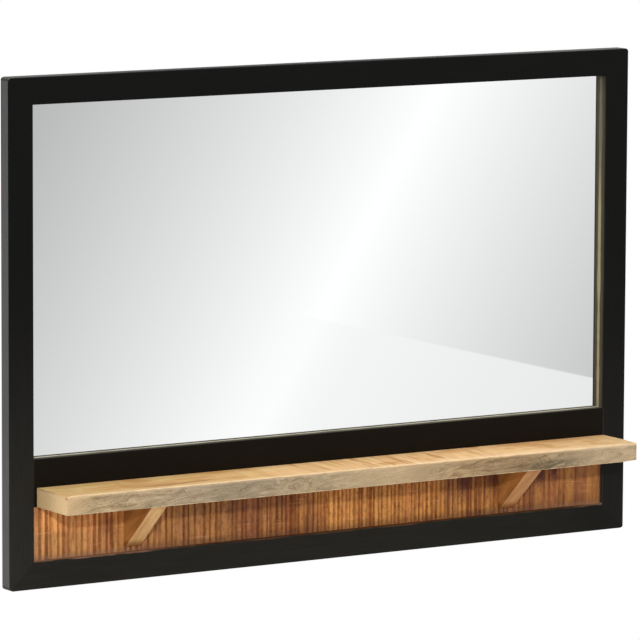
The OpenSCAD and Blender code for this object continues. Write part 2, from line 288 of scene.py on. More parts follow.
frame_low, frame_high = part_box("left_stile")
rail_low, rail_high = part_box("middle_rail")
panel_low, panel_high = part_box("ribbed_panel")
glass_low, glass_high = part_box("mirror_glass")
opening_half = -frame_high.x              # half the width of both openings
opening_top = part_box("top_rail")[0].z
opening_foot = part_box("bottom_rail")[1].z
wall_reach = 0.4 * MM                     # how near the openings' walls the wood is bare
foot_reach = 1.4 * MM                     # the same at the lower opening's worn foot
bare_depth = 1.6 * MM                     # how far the bare wood stands out from the glass
bare_fade = 1.8 * MM                      # how far beyond that it fades into the lacquer
ragged_edge = 2 * MM                      # how far that line wanders either way


def bare_wood(tree, axes, beyond):
    """How bare the openings' inner walls are at a point, from 0 to 1 twice over: first the
    clean wood right next to the glass or the panel, then the thin, brown lacquer that
    reaches from there to the front edge. The lower opening's foot is worn all over. Third
    comes 1 in the mirror's opening and 0 in the panel's."""
    outside = calc("GREATER_THAN", beyond, wall_reach / 2)
    gap = calc("ABSOLUTE", beyond)
    for line in (rail_high.z, opening_top, rail_low.z):
        gap = calc("MINIMUM", gap, calc("ADD", off(axes["Z"], line), outside))
    off_foot = calc("ADD", off(axes["Z"], opening_foot), outside)
    on_foot = calc("LESS_THAN", off_foot, foot_reach)
    on_wall = calc("MAXIMUM", calc("LESS_THAN", gap, wall_reach), on_foot)
    on_wall = times(on_wall, calc("LESS_THAN", axes["Y"], glass_high.y))
    unevenness = noise(place_on(tree, (30, 30, 30)), 3.0)
    ragged = times(unevenness, 2 * ragged_edge, -ragged_edge)
    ragged = times(on_foot, 2 * ragged_edge, ragged)
    at_mirror = calc("GREATER_THAN", axes["Z"], (rail_low.z + rail_high.z) / 2)
    contact = times(at_mirror, glass_low.y - panel_low.y, panel_low.y)
    in_front = calc("SUBTRACT", calc("SUBTRACT", contact, ragged), axes["Y"])
    clean = times(on_wall, rise(in_front, bare_depth + bare_fade, bare_depth))
    depth = times(ragged, 0.4, axes["Y"])
    thin = times(on_wall, rise(depth, frame_low.y + 0.6 * MM, frame_low.y + 2.6 * MM))
    return clean, thin, at_mirror


def black_lacquer(name, grain_scale, high_colour, low_colour):
    """Satin black over open-pored wood: the pores are long along the member, the sheen is a
    little uneven, and painted sheen greys the frame's top and its lower part."""
    material, tree, surface = new_material(name, specular=0.07)
    axes = split(point_on(tree))
    pores = noise(place_on(tree, grain_scale), 4.0, 0.6)
    cloud = noise(place_on(tree, (9, 9, 9)), 3.0)
    speck = noise(place_on(tree, (420, 420, 420)), 1.0)

    # The black coat: greyer towards the foot with painted sheen, least so at the right, and
    # rubbed brown beside the low opening.
    sheen_share = times(rise(axes["X"], 0.0, 0.4), -0.25, 1.0)
    sheen_share = times(rise(axes["X"], 0.3, 0.38), -0.34, sheen_share)
    painted_sheen = times(rise(axes["Z"], -0.12, -0.5), sheen_share)
    black = mix(painted_sheen, high_colour, low_colour)
    black = mix(times(pores, 0.5), black, levels(6, 6, 6))
    beyond = calc("SUBTRACT", calc("ABSOLUTE", axes["X"]), opening_half)
    rubbed = times(rise(beyond, 1.6 * MM, 0.8 * MM), calc("GREATER_THAN", beyond, -0.3 * MM))
    low_part = calc("COMPARE", axes["Z"], (rail_high.z + opening_foot) / 2,
                    (rail_high.z - opening_foot) / 2)
    black = mix(times(times(rubbed, low_part), 0.5), black, levels(56, 48, 40))

    # The openings' inner walls: brown where the lacquer is thin, then bare wood, which is
    # darker high up beside the mirror, palest on the sill and dusty at the panel's ends.
    clean, thin, at_mirror = bare_wood(tree, axes, beyond)
    on_sill = calc("LESS_THAN", off(axes["Z"], rail_high.z), 1 * MM)
    wiped = times(on_sill, rise(axes["X"], -0.14, -0.02))
    in_front = rise(axes["Y"], frame_low.y + 6.5 * MM, frame_low.y + 1.5 * MM)
    brown = mix(pores, levels(64, 59, 45), levels(86, 79, 60))
    brown = mix(times(in_front, times(wiped, -0.75, 0.75)), brown, levels(44, 41, 41))
    wood = mix(pores, levels(140, 128, 102), levels(172, 160, 126))
    wood = mix(rise(axes["Z"], -0.12, -0.02), wood, levels(106, 105, 88))
    wood = mix(on_sill, wood, levels(168, 166, 148))
    dusted = calc("MAXIMUM", rise(axes["X"], -0.14, -0.27), rise(axes["X"], 0.325, 0.36))
    foot_wood = mix(dusted, levels(98, 68, 46), levels(156, 121, 100))
    wood = mix(at_mirror, foot_wood, wood)
    colour = mix(clean, mix(thin, black, brown), wood)

    # Painted sheen greys the top of the frame, least of it at the middle.
    on_top = calc("GREATER_THAN", axes["Z"], opening_top + 10 * MM)
    top_sheen = times(rise(facing(tree)["Z"], 0.3, 0.9), on_top)
    top_sheen = times(top_sheen, times(rise(off(axes["X"], -0.04), 0.12, 0.34), 0.75, 0.15))
    top_sheen = times(top_sheen, times(cloud, 0.6, 0.6))
    colour = mix(top_sheen, colour, levels(84, 84, 81))
    rough = times(thin, 0.3, times(cloud, 0.12, 0.34))
    height = times(speck, 0.25, rise(pores, 0.35, 0.5))
    finish(surface, colour, rough, height, 0.15 * MM, 0.35)
    return material


def dress(node, material):
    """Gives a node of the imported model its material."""
    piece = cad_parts[node]
    piece.data.materials.clear()
    piece.data.materials.append(material)


lacquer_high = levels(16, 16, 15)
# The low colours are painted sheen: the lacquer greys towards them at the foot.
lacquer_low = levels(43, 41, 36)
lacquer_foot = levels(48, 46, 42)
lacquer_brown = levels(22, 17, 11)        # the middle rail's, browner than the other members
upright_grain, level_grain = (260, 260, 26), (26, 260, 260)
upright = black_lacquer("black_lacquer_upright", upright_grain, lacquer_high, lacquer_foot)
level = black_lacquer("black_lacquer_level", level_grain, lacquer_high, lacquer_low)
middle_coat = black_lacquer("black_lacquer_middle", level_grain, lacquer_brown, lacquer_brown)
for member, coat in (("left_stile", upright), ("right_stile", upright), ("top_rail", level),
                     ("middle_rail", middle_coat), ("bottom_rail", level)):
    dress(member, coat)

# ---------- Dowels ----------
# Turned hardwood pins, glued across the mitres, into the ends of the middle rail and
# between the brackets and the shelf. They are hidden once the mirror is together.

dowel_wood, tree, surface = new_material("dowel_wood")
fibre = noise(place_on(tree, (540, 540, 540)), 4.0, 0.6, 0.4)
finish(surface, mix(fibre, levels(226, 200, 156), levels(188, 152, 104)), 0.6, fibre)
for pins in ("mitre_dowels", "middle_rail_dowels", "bracket_dowels"):
    dress(pins, dowel_wood)

# ---------- Mirror ----------
# A sheet of 3 mm float glass, silvered at the back and painted grey over the silver. It
# lies in a rebate behind the frame's lip and is held there by the back board.

silvered, tree, surface = new_material("silvered_glass")
behind_silver = rise(split(point_on(tree))["Y"], glass_high.y - 0.3 * MM,
                     glass_high.y - 0.1 * MM)
smear = noise(place_on(tree, (5, 5, 2)), 3.0)
silver = mix(behind_silver, levels(250, 251, 251), levels(120, 122, 120))
finish(surface, silver, times(behind_silver, 0.5, times(smear, 0.01)))
join(calc("SUBTRACT", 1.0, behind_silver), surface.inputs["Metallic"])
dress("mirror_glass", silvered)

# ---------- Back board ----------
# A thin sheet of brown pressed board that closes the rebate behind the mirror. Ten small
# screws hold it to the top and middle rails.


def lay(under, over, value, low, high, strength):
    """Lays a colour over another where a value has risen from low to high. Strength is how
    much of it covers there, from 0 to 1."""
    return mix(times(rise(value, low, high), strength), under, over)


pressed_board, tree, surface = new_material("pressed_board")
fibres = noise(place_on(tree, (900, 900, 540), (0, 0.4, 0)), 3.0, 0.7)
mottle = noise(place_on(tree, (30, 30, 30)), 5.0, 0.65, 0.5)
fleck = noise(place_on(tree, (420, 420, 420)), 1.0)
brown = mix(mottle, levels(128, 97, 66), levels(158, 124, 88))
brown = mix(times(fibres, 0.45), brown, levels(186, 152, 112))
brown = lay(brown, levels(84, 60, 40), fleck, 0.62, 0.72, 0.5)
finish(surface, brown, 0.62, fibres, 0.08 * MM, 0.5)
dress("mirror_back_board", pressed_board)

# ---------- Ribbed panel ----------
# A 10 mm board of brown wood whose front is sawn by hand into upright ribs, then oiled.
# Each cut wanders, its edges are chipped, and each rib took the oil in its own way. It
# lies in a rebate and is screwed there from behind.

margin_left = 6 * MM
margin_right = 14 * MM
rib_pitch = 6.4 * MM
cut_width = 2.5 * MM
cut_depth = 1.3 * MM
cut_bunch = 0.028                         # how far cuts are drawn together, as a share
cut_closest = 0.08                        # where they are closest, off the middle
cut_jitter = 0.7 * MM                     # how far a cut may stand off its even place
cut_lean = 0.16 * MM                      # how far it wanders from straight
cut_fray = 0.16                           # how far its edges wander, in half widths
cut_floor = 0.45                          # how far its floor reaches, in half widths
shallow_part = 0.3                        # how deep and how dark a shallow cut is
tear_depth = 0.5 * MM                     # how deep the saw tore the ribs' tops
floor_ripple = 0.16 * MM                  # how rough the cuts' floors are
rib_drop = 0.28 * MM                      # how far below the front a rib's top may lie
flat_rim = 1 * MM                         # the board is flat this near the stiles
column_step = 0.62 * MM
row_step = 1.6 * MM
deepest = 2.2 * MM
hidden_depth = 0.15 * MM                  # the panel's back, below the screw heads' faces
lift_from, lift_to = 0.327, 0.347         # where the saw lifts off, at the right end


def grid_faces(rows, columns):
    """The four corners of each cell of a grid whose points are numbered row by row. Seen
    from the side where rows go up and columns go right, the corners turn anticlockwise."""
    corner = (np.arange(rows - 1)[:, None] * columns + np.arange(columns - 1)).reshape(-1, 1)
    return corner + np.array([0, 1, columns + 1, columns])


def make_piece(name, points, faces, material, slot):
    """A mesh piece from its points and faces, on the body that carries the whole object."""
    mesh = bpy.data.meshes.new(name)
    mesh.from_pydata(points.tolist(), [], [list(map(int, face)) for face in faces])
    mesh.validate()
    mesh.materials.append(material)
    piece = bpy.data.objects.new(name, mesh)
    bpy.context.scene.collection.objects.link(piece)
    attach(piece, "root")
    return piece


def wander(rng, places, wavelength, waves=7):
    """Smooth random values from about -1 to 1: a sum of sine waves of about one wavelength
    that run in random directions over the places, one row for each place."""
    count = places.shape[-1]
    heading = rng.normal(size=(waves, count))
    heading /= np.linalg.norm(heading, axis=1)[:, None]
    number = 2 * np.pi / wavelength * rng.uniform(0.6, 1.6, waves)
    phase = rng.uniform(0, 2 * np.pi, waves)
    return np.sin(places @ (heading * number[:, None]).T + phase).sum(-1) / np.sqrt(waves)


def ease(value, low, high):
    """0 below low and 1 above high, which may be the smaller. Between them, three times the
    share's square less twice its cube."""
    share = np.clip((value - low) / (high - low), 0, 1)
    return share * share * (3 - 2 * share)


def saw_cuts():
    """The middle, half width and depth of each saw cut: evenly spread between the margins,
    drawn together a little right of the middle, with each value wandering by sines, all as
    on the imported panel."""
    span = 2 * opening_half - margin_left - margin_right
    count = int(span / rib_pitch)
    index = np.arange(count)
    share = (index + 0.5) / count - 0.5

    def sine(degrees):
        return np.sin(np.radians(degrees))

    def swing(value):
        return cut_bunch * sine(360 * (value - cut_closest))

    middle = (margin_left - margin_right) / 2 + span * (share - swing(share) + swing(0.5))
    middle += 0.11 * rib_pitch * (sine(137.5 * index) + 0.8 * sine(59 * index))
    half = cut_width / 2 * (1 + 0.28 * sine(97 * index) + 0.2 * sine(41 * index + 30))
    depth = cut_depth * (1 - 0.18 * (1 + sine(151 * index)))
    return middle, half, depth


rng = np.random.default_rng(41)
cut_middle, cut_half, cut_deep = saw_cuts()
cut_count = len(cut_middle)
cut_middle = cut_middle + rng.uniform(-1, 1, cut_count) * cut_jitter
columns = np.linspace(panel_low.x, panel_high.x,
                      int((panel_high.x - panel_low.x) / column_step))
rows = np.linspace(panel_low.z, panel_high.z, int((panel_high.z - panel_low.z) / row_step))
across, up = np.meshgrid(columns, rows)
flat = np.stack([across, up], -1)
nearest = np.abs(columns[:, None] - cut_middle[None, :]).argmin(1)
lean = wander(rng, flat * (1.0, 0.12), 9 * MM)
frayed = wander(rng, flat, 3.2 * MM)
off_middle = np.abs(across - cut_middle[nearest] - cut_lean * lean)
edge = cut_half[nearest] * (1 + cut_fray * frayed)
in_cut = ease(off_middle, edge, cut_floor * edge)

# Some cuts are shallow and pale, more of them towards the right. The others are dark with
# painted shade, each to its own degree. At the right end every cut is half as dark.
shallow_share = np.interp(cut_middle, (-0.1, 0, 0.15, 0.36), (0.08, 0.04, 0.08, 0.2))
shallow = rng.uniform(0, 1, cut_count) < shallow_share
cut_deep = np.where(shallow, shallow_part, 1.0) * cut_deep
darkness = np.where(shallow, shallow_part, rng.uniform(0.55, 1.0, cut_count))
darkness *= 1 - 0.5 * ease(cut_middle, 0.245, 0.285)
soft = rng.uniform(0.3, 1.9, cut_count) * MM
shaded = ease(off_middle, edge + soft[nearest], 0.75 * edge) * darkness[nearest]
lifted = 1 - 0.75 * ease(across, lift_from, lift_to)
land = np.searchsorted(cut_middle, columns)
land_drop = rng.uniform(0, 1, cut_count + 1) * rib_drop
torn = np.clip(wander(rng, flat * (1.0, 0.5), 5 * MM) - 1.0, 0, 1) * tear_depth
floor_rough = floor_ripple * wander(rng, flat * (1.0, 0.3), 2.2 * MM)

# The front lies back by its cut's depth and ripple where in_cut is 1, and by its rib's
# drop and tears where in_cut is 0.
sunk = in_cut * (cut_deep[nearest] + floor_rough) * lifted
sunk += (1 - in_cut) * (land_drop[land] + torn)
covered = (np.abs(across) > opening_half - flat_rim) | (up < opening_foot) | (up > rail_low.z)
sunk = np.where(covered, 0, np.clip(sunk, 0, deepest))

front = np.stack([across, panel_low.y + sunk, up], -1).reshape(-1, 3)
row_count, column_count = across.shape
rim = np.concatenate([
    np.arange(column_count),
    np.arange(1, row_count) * column_count + column_count - 1,
    (row_count - 1) * column_count + np.arange(column_count - 2, -1, -1),
    np.arange(row_count - 2, 0, -1) * column_count,
])
back = front[rim].copy()
back[:, 1] = panel_high.y - hidden_depth
back_ring = len(front) + np.arange(len(rim))
panel_walls = np.stack([rim, back_ring, np.roll(back_ring, -1), np.roll(rim, -1)], -1)
panel_faces = [*grid_faces(row_count, column_count), *panel_walls, back_ring[::-1]]


def ramp(share, stops):
    """A colour that runs through stops, each a place from 0 to 1 and a colour."""
    node = tree_of(share).nodes.new("ShaderNodeValToRGB")
    bar = node.color_ramp
    while len(bar.elements) < len(stops):
        bar.elements.new(0.5)
    for element, (where, colour) in zip(bar.elements, stops):
        element.position = where
        element.color = colour
    join(share, node.inputs[0])
    return node.outputs[0]


def tint(colour, factor, share=1.0):
    """Multiplies a colour by a factor for each of red, green and blue, as far as share."""
    return mix(share, colour, factor, "MULTIPLY")


def gray_along(share, *stops):
    """A gray that runs through stops, each a place from 0 to 1 and a value."""
    return ramp(share, [(where, gray(value)) for where, value in stops])


def ribbed_wood():
    """Oiled brown wood: pale worn rib tops and cuts darkened with painted shade, with the
    wood's own tone from stave to stave, a shade for each rib, level saw marks, and dark knot
    stains that carry painted shade under the shelf. The panel is darker just above its foot
    with painted shade, and its upper left is lightened with painted light. The back is planed,
    and paler and duller."""
    material, tree, surface = new_material("ribbed_wood", specular=0.3)
    axes = split(point_on(tree))
    in_shade, tone, stain_and_shade = (
        shade(tree, "Attribute", {}, attribute_name=name).node.outputs["Fac"]
        for name in ("shaded", "tone", "stain_and_shade"))
    share = shade(tree, "MapRange", {
        "Value": axes["X"], "From Min": -opening_half, "From Max": opening_half})
    wood = ramp(share, (
        (0.0, levels(160, 108, 72)), (0.02, levels(222, 162, 102)),
        (0.10, levels(216, 154, 94)), (0.16, levels(206, 146, 88)),
        (0.27, levels(194, 136, 80)), (0.34, levels(186, 128, 76)),
        (0.44, levels(181, 120, 68)), (0.51, levels(232, 164, 94)),
        (0.60, levels(212, 148, 82)), (0.68, levels(224, 158, 88)),
        (0.77, levels(194, 132, 72)), (0.98, levels(183, 122, 68))))
    wood = tint(wood, ramp(tone, (
        (0.0, (0.66, 0.56, 0.54, 1.0)), (0.3, (0.86, 0.82, 0.80, 1.0)),
        (0.6, (0.96, 0.98, 0.86, 1.0)), (0.85, gray(1.0)),
        (1.0, (1.0, 0.90, 0.94, 1.0)))))
    wood = tint(wood, (0.50, 0.35, 0.20, 1.0), in_shade)
    figure = noise(place_on(tree, (190, 1, 22)), 3.0, 0.55)
    wood = tint(wood, ramp(figure, (
        (0.32, (0.64, 0.56, 0.52, 1.0)), (0.50, gray(1.0)), (0.68, (1.16, 1.20, 1.22, 1.0)))))
    mottle = noise(place_on(tree, (240, 1, 130)), 4.0, 0.65)
    knotty = gray_along(share, (0.0, 0.5), (0.22, 0.55), (0.32, 0.9), (0.8, 0.8), (1.0, 0.4))
    wood = tint(wood, ramp(mottle, (
        (0.34, (0.54, 0.46, 0.42, 1.0)), (0.54, gray(1.0)))), knotty)
    blotch = noise(place_on(tree, (28, 28, 19.6)), 4.0, 0.6, 0.6)
    wood = lay(wood, levels(128, 74, 42), blotch, 0.48, 0.75, 0.4)
    mark = noise(place_on(tree, (22, 1, 330)), 3.0, 0.6)
    wood = lay(wood, levels(228, 170, 126), mark, 0.58, 0.72, 0.32)
    # Dark knot stains, with painted shade where they lie just under the shelf.
    wood = mix(stain_and_shade, wood, levels(92, 48, 32))

    above_foot = calc("SUBTRACT", axes["Z"], opening_foot)
    faded = gray_along(share, (0.0, 0.5), (0.3, 0.15), (0.7, 0.1), (1.0, 0.4))
    wood = lay(wood, levels(168, 134, 112), above_foot, 6 * MM, 1 * MM, faded)
    # Painted shade: the panel darkens just above its foot, beside the bottom rail's lip.
    panel_foot_shade = gray_along(share, (0.0, 0.2), (0.12, 0.08), (0.24, 0.42), (0.6, 0.55),
                       (0.76, 0.6), (0.85, 0.5), (0.94, 0.15))
    wood = tint(wood, (0.42, 0.40, 0.38, 1.0),
                times(rise(above_foot, 11 * MM, 2 * MM), panel_foot_shade))
    # Painted light: the panel's upper left, under the shelf, is lightened.
    wood = tint(wood, (1.36, 1.3, 1.24, 1.0),
                times(rise(share, 0.19, 0.16), rise(above_foot, 24 * MM, 34 * MM)))

    behind = rise(axes["Y"], panel_low.y + 4 * MM, panel_low.y + 6 * MM)
    planed = noise(place_on(tree, (5, 1, 150)), 5.0, 0.6, 0.5)
    wood = mix(behind, wood, mix(
        rise(planed, 0.3, 0.7), levels(176, 124, 76), levels(138, 90, 52)))
    rough = times(calc("ADD", in_shade, behind), 0.15, 0.56)
    scratch = noise(place_on(tree, (1500, 1, 45)), 3.0, 0.6)
    finish(surface, wood, rough, times(scratch, 0.7, mark), 0.25 * MM)
    return material


# Dark places: knot stains, and painted shade where they lie just under the shelf. Each gives
# how far right, how high, half width, half height, and darkness
stain_and_shade_places = (
    (-0.165, -0.400, 22, 20, 0.45), (-0.105, -0.408, 26, 30, 0.60),
    (-0.060, -0.398, 22, 26, 0.55), (-0.275, -0.412, 9, 13, 0.65),
    (-0.020, -0.436, 14, 10, 0.35), (0.164, -0.405, 7, 26, 0.90),
    (0.186, -0.404, 14, 17, 1.10), (0.226, -0.405, 24, 17, 1.10),
    (0.288, -0.403, 11, 14, 1.30), (0.308, -0.400, 6, 12, 1.20),
    (0.335, -0.438, 30, 12, 0.35),
)
stained = np.zeros_like(across)
for right, high, half_wide, half_high, dark in stain_and_shade_places:
    reach = ((across - right) / (half_wide * MM)) ** 2 + ((up - high) / (half_high * MM)) ** 2
    stained = np.maximum(stained, dark * np.exp(-reach * (1 + 0.4 * frayed)))
uneven = rng.uniform(0.5, 1.0, cut_count + 1)
stained = np.clip(stained * uneven[land], 0, 1)
tone_spread = np.interp(np.append(cut_middle, opening_half), (-0.1, 0.02, 0.15, 0.3),
                        (0.24, 0.12, 0.16, 0.28))
land_tone = np.clip(rng.normal(0.66, tone_spread), 0, 1)
for cut in np.flatnonzero(shallow):                 # both sides of a shallow cut are alike
    land_tone[cut + 1] = land_tone[cut]

panel = make_piece("panel_ribs", np.vstack([front, back]), panel_faces, ribbed_wood(),
                   "ribbed_wood")
tone = np.broadcast_to(land_tone[land], across.shape)
for name, values in (("shaded", shaded * lifted), ("tone", tone), ("stain_and_shade", stained)):
    whole = np.concatenate([values.ravel(), values.ravel()[rim]])
    held = panel.data.attributes.new(name, "FLOAT", "POINT")
    held.data.foreach_set("value", whole.astype(np.float32))
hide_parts("ribbed_panel")

# ---------- Shelf ----------
# A raw board, rough from the saw, its long edges only eased by hand. The saw left marks
# straight across its top, and its front edge is greyer, with wavy grain and mineral
# streaks. It is screwed from behind through the middle rail and doweled to the brackets.


def rounded_outline(corners, radii, arc_steps, longest):
    """Points round a closed outline, anticlockwise: each corner is cut back by its radius
    along both of its sides and joined by a parabola that the corner pulls on, and each
    straight side is split into even steps no longer than longest."""
    corners = np.asarray(corners, float)
    outline = []
    count = len(corners)
    for index, (corner, radius) in enumerate(zip(corners, radii)):
        before = corners[index - 1] - corner
        after = corners[(index + 1) % count] - corner
        start = corner + before / np.linalg.norm(before) * radius
        end = corner + after / np.linalg.norm(after) * radius
        share = np.linspace(0, 1, arc_steps)[:, None]
        outline.append((1 - share) ** 2 * start + 2 * share * (1 - share) * corner
                       + share ** 2 * end)
    for index in range(count):
        start, end = outline[index][-1], outline[(index + 1) % count][0]
        steps = int(np.linalg.norm(end - start) / longest) + 1
        between = np.linspace(start, end, steps + 1)[1:-1]
        outline[index] = np.vstack([outline[index], between])
    return np.vstack(outline)


def carried(outline, start, end, eased, longest):
    """An outline in Y and Z carried along X from start to end, in rings. Towards both ends
    the rings draw in by a quarter round, along the outline's inward normals."""
    sweep = np.roll(outline, -1, 0) - np.roll(outline, 1, 0)
    inward = np.column_stack([-sweep[:, 1], sweep[:, 0]])
    inward /= np.linalg.norm(inward, axis=1)[:, None]
    angle = np.radians(np.linspace(0, 90, 4))
    near = eased * (1 - np.cos(angle))
    steps = int((end - start - 2 * eased) / longest) + 1
    inner = np.linspace(start + eased, end - eased, steps + 1)[1:-1]
    along = np.concatenate([start + near, inner, (end - near)[::-1]])
    draw = eased * (1 - np.sin(angle))
    drawn = np.concatenate([draw, np.zeros(len(inner)), draw[::-1]])
    rings = outline[None] + inward[None] * drawn[:, None, None]
    places = np.broadcast_to(along[:, None, None], (*rings.shape[:2], 1))
    return np.concatenate([places, rings], -1)


def closed_rings(rings):
    """Points and faces of a closed solid: rings joined by four-sided faces, and one face
    over each end. Seen from -X, each ring turns clockwise."""
    number, count = rings.shape[:2]
    start = np.arange(number - 1)[:, None] * count
    step = np.arange(count)[None, :]
    following = (step + 1) % count
    sides = np.stack([start + step, start + following, start + count + following,
                      start + count + step], -1).reshape(-1, 4)
    ends = [np.arange(count)[::-1], (number - 1) * count + np.arange(count)]
    return rings.reshape(-1, 3), [*sides, *ends]


def smooth_but_ends(piece):
    """Shades a piece made of closed rings smoothly round its sides, and flat on its ends."""
    piece.data.shade_smooth()
    for face in piece.data.polygons:
        face.use_smooth = len(face.vertices) == 4


def sawn_shelf():
    """The shelf's rings, with its top and front sunk a little by smooth random waves, so
    that neither is flat. The top's back edge stays straight against the rail. The front
    arris is waned right of the middle, and the front corners are rounded, chipped at the
    left and thinned at the right."""
    rng = np.random.default_rng(17)
    low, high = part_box("shelf_board")
    corners = ((low.y, low.z), (high.y, low.z), (high.y, high.z), (low.y, high.z))
    radii = (1.3 * MM, 1.0 * MM, 1.0 * MM, 2.0 * MM)      # the front top is rounded most
    swell_depth, saw_depth, nick_depth = 0.12 * MM, 0.08 * MM, 0.5 * MM
    wane_depth, corner_depth, chip_depth, thin_depth = 0.9 * MM, 2.4 * MM, 1.5 * MM, 0.8 * MM
    outline = rounded_outline(corners, radii, 6, 3 * MM)
    rings = carried(outline, low.x, high.x, 0.6 * MM, 2 * MM)
    right, back, height = rings[..., 0], rings[..., 1], rings[..., 2]
    swell = wander(rng, rings * (1.0, 2.0, 2.0), 160 * MM)
    sawn = wander(rng, rings * (1.0, 0.2, 0.2), 8 * MM)
    nick = np.clip(wander(rng, rings, 13 * MM) - 1.1, 0, 1)
    sink = swell_depth * (swell + 2) + saw_depth * sawn + nick_depth * nick
    sink = np.clip(sink, 0, 1.2 * MM)

    wane = ease(right, 0.06, 0.14) * ease(right, 0.36, 0.28) * (0.7 + 0.3 * swell)
    wane *= ease(back - low.y + high.z - height, 6 * MM, 0)
    back += wane * wane_depth
    height -= wane * wane_depth

    corner = 3 * MM                       # how far from each end the front turns back
    from_end = (high.x - low.x) / 2 - np.abs(right - (low.x + high.x) / 2)
    near_end = np.clip(1 - from_end / corner, 0, 1)
    turned = corner_depth * (1 - np.sqrt(1 - near_end ** 2))
    back += turned * ease(back, low.y + 12 * MM, low.y)

    at_front = ease(back, low.y + 3 * MM, low.y)
    at_top = ease(height, high.z - 3 * MM, high.z) * ease(back, high.y, high.y - 6 * MM)
    back += at_front * sink
    height -= at_top * sink * 0.5

    near_front = ease(back, low.y + 30 * MM, low.y + 4 * MM)
    chipped = ease(right, low.x + 5 * MM, low.x) * near_front
    thinned = ease(right, high.x - 22 * MM, high.x) * near_front
    share = (height - low.z) / (high.z - low.z)
    height -= share * (chip_depth * chipped + thin_depth * thinned)
    height += (1 - share) * thin_depth * thinned
    return rings


def spot(axes, across, right, high, half_wide, half_high):
    """1 at a place on a face, falling smoothly to 0 past its half sizes. The face runs
    along X and along the axis that across names."""
    wide = calc("DIVIDE", calc("SUBTRACT", axes["X"], right), half_wide)
    tall = calc("DIVIDE", calc("SUBTRACT", axes[across], high), half_high)
    return rise(times(wide, wide, times(tall, tall)), 1.7, 0.2)


def distance(a, b):
    """How far two offsets at right angles reach together: the root of their squares' sum."""
    return calc("SQRT", times(a, a, times(b, b)))


# Brown patches on the shelf's top: how far right and how far back, half width and half
# depth, and how dark
brown_patches = (
    (-0.155, -0.027, 24, 9, 0.75), (-0.195, -0.045, 34, 8, 0.45),
    (-0.300, -0.058, 30, 12, 0.35), (0.048, -0.068, 15, 8, 0.75),
    (0.154, -0.032, 20, 11, 0.55), (0.188, -0.023, 9, 4, 0.90),
    (0.222, -0.050, 8, 5, 0.70), (0.330, -0.052, 12, 7, 0.60),
    (0.285, -0.030, 24, 10, 0.35),
)
bend_reach = 10 * MM                      # how far the patches' outlines wander either way


def sawn_face(tree, axes, low, high):
    """The shelf's top: straw-coloured, with saw marks straight across it that are strongest
    right of the middle, and grain along it that shows best at the left."""
    saw = noise(place_on(tree, (170, 7, 7), (0, 0, 0.05)), 4.0, 0.65, 0.25)
    stroke = noise(place_on(tree, (115, 7, 7), (0, 0, 0.10)), 3.0, 0.7, 0.7)
    grain = noise(place_on(tree, (7, 230, 230), (0, 0, -0.05)), 4.0, 0.6, 0.5)
    broad = noise(place_on(tree, (9, 24, 24)), 3.0, 0.55, 0.8)
    warm = noise(place_on(tree, (16, 26, 26), shift=(0.07, 0, 0)), 4.0, 0.6, 0.6)
    along = shade(tree, "MapRange", {
        "Value": axes["X"], "From Min": low.x, "From Max": high.x})

    # The wood's own tone, which shows the saw's marks least at both ends, with warm and
    # pale patches and grain there, and deeper strokes right of the middle.
    face = ramp(saw, (
        (0.28, levels(180, 132, 78)), (0.42, levels(210, 166, 110)),
        (0.56, levels(226, 188, 132)), (0.72, levels(242, 212, 162))))
    smooth = calc("MAXIMUM", rise(along, 0.50, 0.28), rise(along, 0.62, 0.78))
    face = mix(times(smooth, 0.75), face, ramp(along, (
        (0.4, levels(216, 176, 116)), (0.6, levels(228, 186, 130)))))
    face = lay(face, levels(224, 180, 128), broad, 0.45, 0.7, 0.6)
    face = lay(face, levels(194, 138, 80), warm, 0.48, 0.62, times(smooth, 0.6))
    face = lay(face, levels(238, 208, 150), warm, 0.42, 0.30, times(smooth, 0.6))
    face = lay(face, levels(178, 128, 70), grain, 0.52, 0.72, times(smooth, 0.35, 0.2))
    struck = gray_along(along, (0.0, 0.02), (0.36, 0.12), (0.5, 1.0), (0.66, 0.7),
                        (0.8, 0.15), (1.0, 0.1))
    struck = times(struck, rise(broad, 0.36, 0.56))
    face = lay(face, levels(168, 112, 56), stroke, 0.52, 0.62, struck)
    face = tint(face, ramp(along, (
        (0.05, (0.84, 0.86, 0.78, 1.0)), (0.25, (0.86, 0.85, 0.78, 1.0)),
        (0.38, gray(1.0)), (0.72, gray(1.0)),
        (0.84, (0.92, 0.91, 0.90, 1.0)), (0.95, (0.88, 0.91, 0.92, 1.0)))))

    # Brown patches and one long brown streak, all bent by soft noise.
    bend = noise(place_on(tree, (14, 14, 14)), 3.0)
    bent_back = times(bend, 2 * bend_reach, calc("SUBTRACT", axes["Y"], bend_reach))
    bent_axes = {"X": axes["X"], "Y": bent_back}
    ragged = rise(grain, 0.30, 0.55)
    for right, back, half_wide, half_deep, dark in brown_patches:
        patch = spot(bent_axes, "Y", right, back, half_wide * MM, half_deep * MM)
        face = mix(times(times(patch, ragged), dark), face, levels(188, 130, 66))
    off_streak = calc("SUBTRACT", bent_back, times(axes["X"], 0.03, -0.062))
    ends = times(rise(axes["X"], -0.29, -0.25), rise(axes["X"], -0.16, -0.20))
    streak = times(rise(calc("ABSOLUTE", off_streak), 4.5 * MM, 1 * MM), ends)
    face = mix(times(streak, 0.8), face, levels(140, 94, 46))

    # A paler strip along the front, wider where the arris is waned.
    waned = times(rise(axes["X"], 0.05, 0.13), rise(axes["X"], 0.37, 0.30))
    edge_reach = times(waned, 14 * MM, 7 * MM)
    inland = calc("DIVIDE", calc("SUBTRACT", axes["Y"], low.y), edge_reach)
    face = lay(face, levels(236, 204, 164), inland, 1.0, 0.1, 0.45)
    return face, saw, stroke


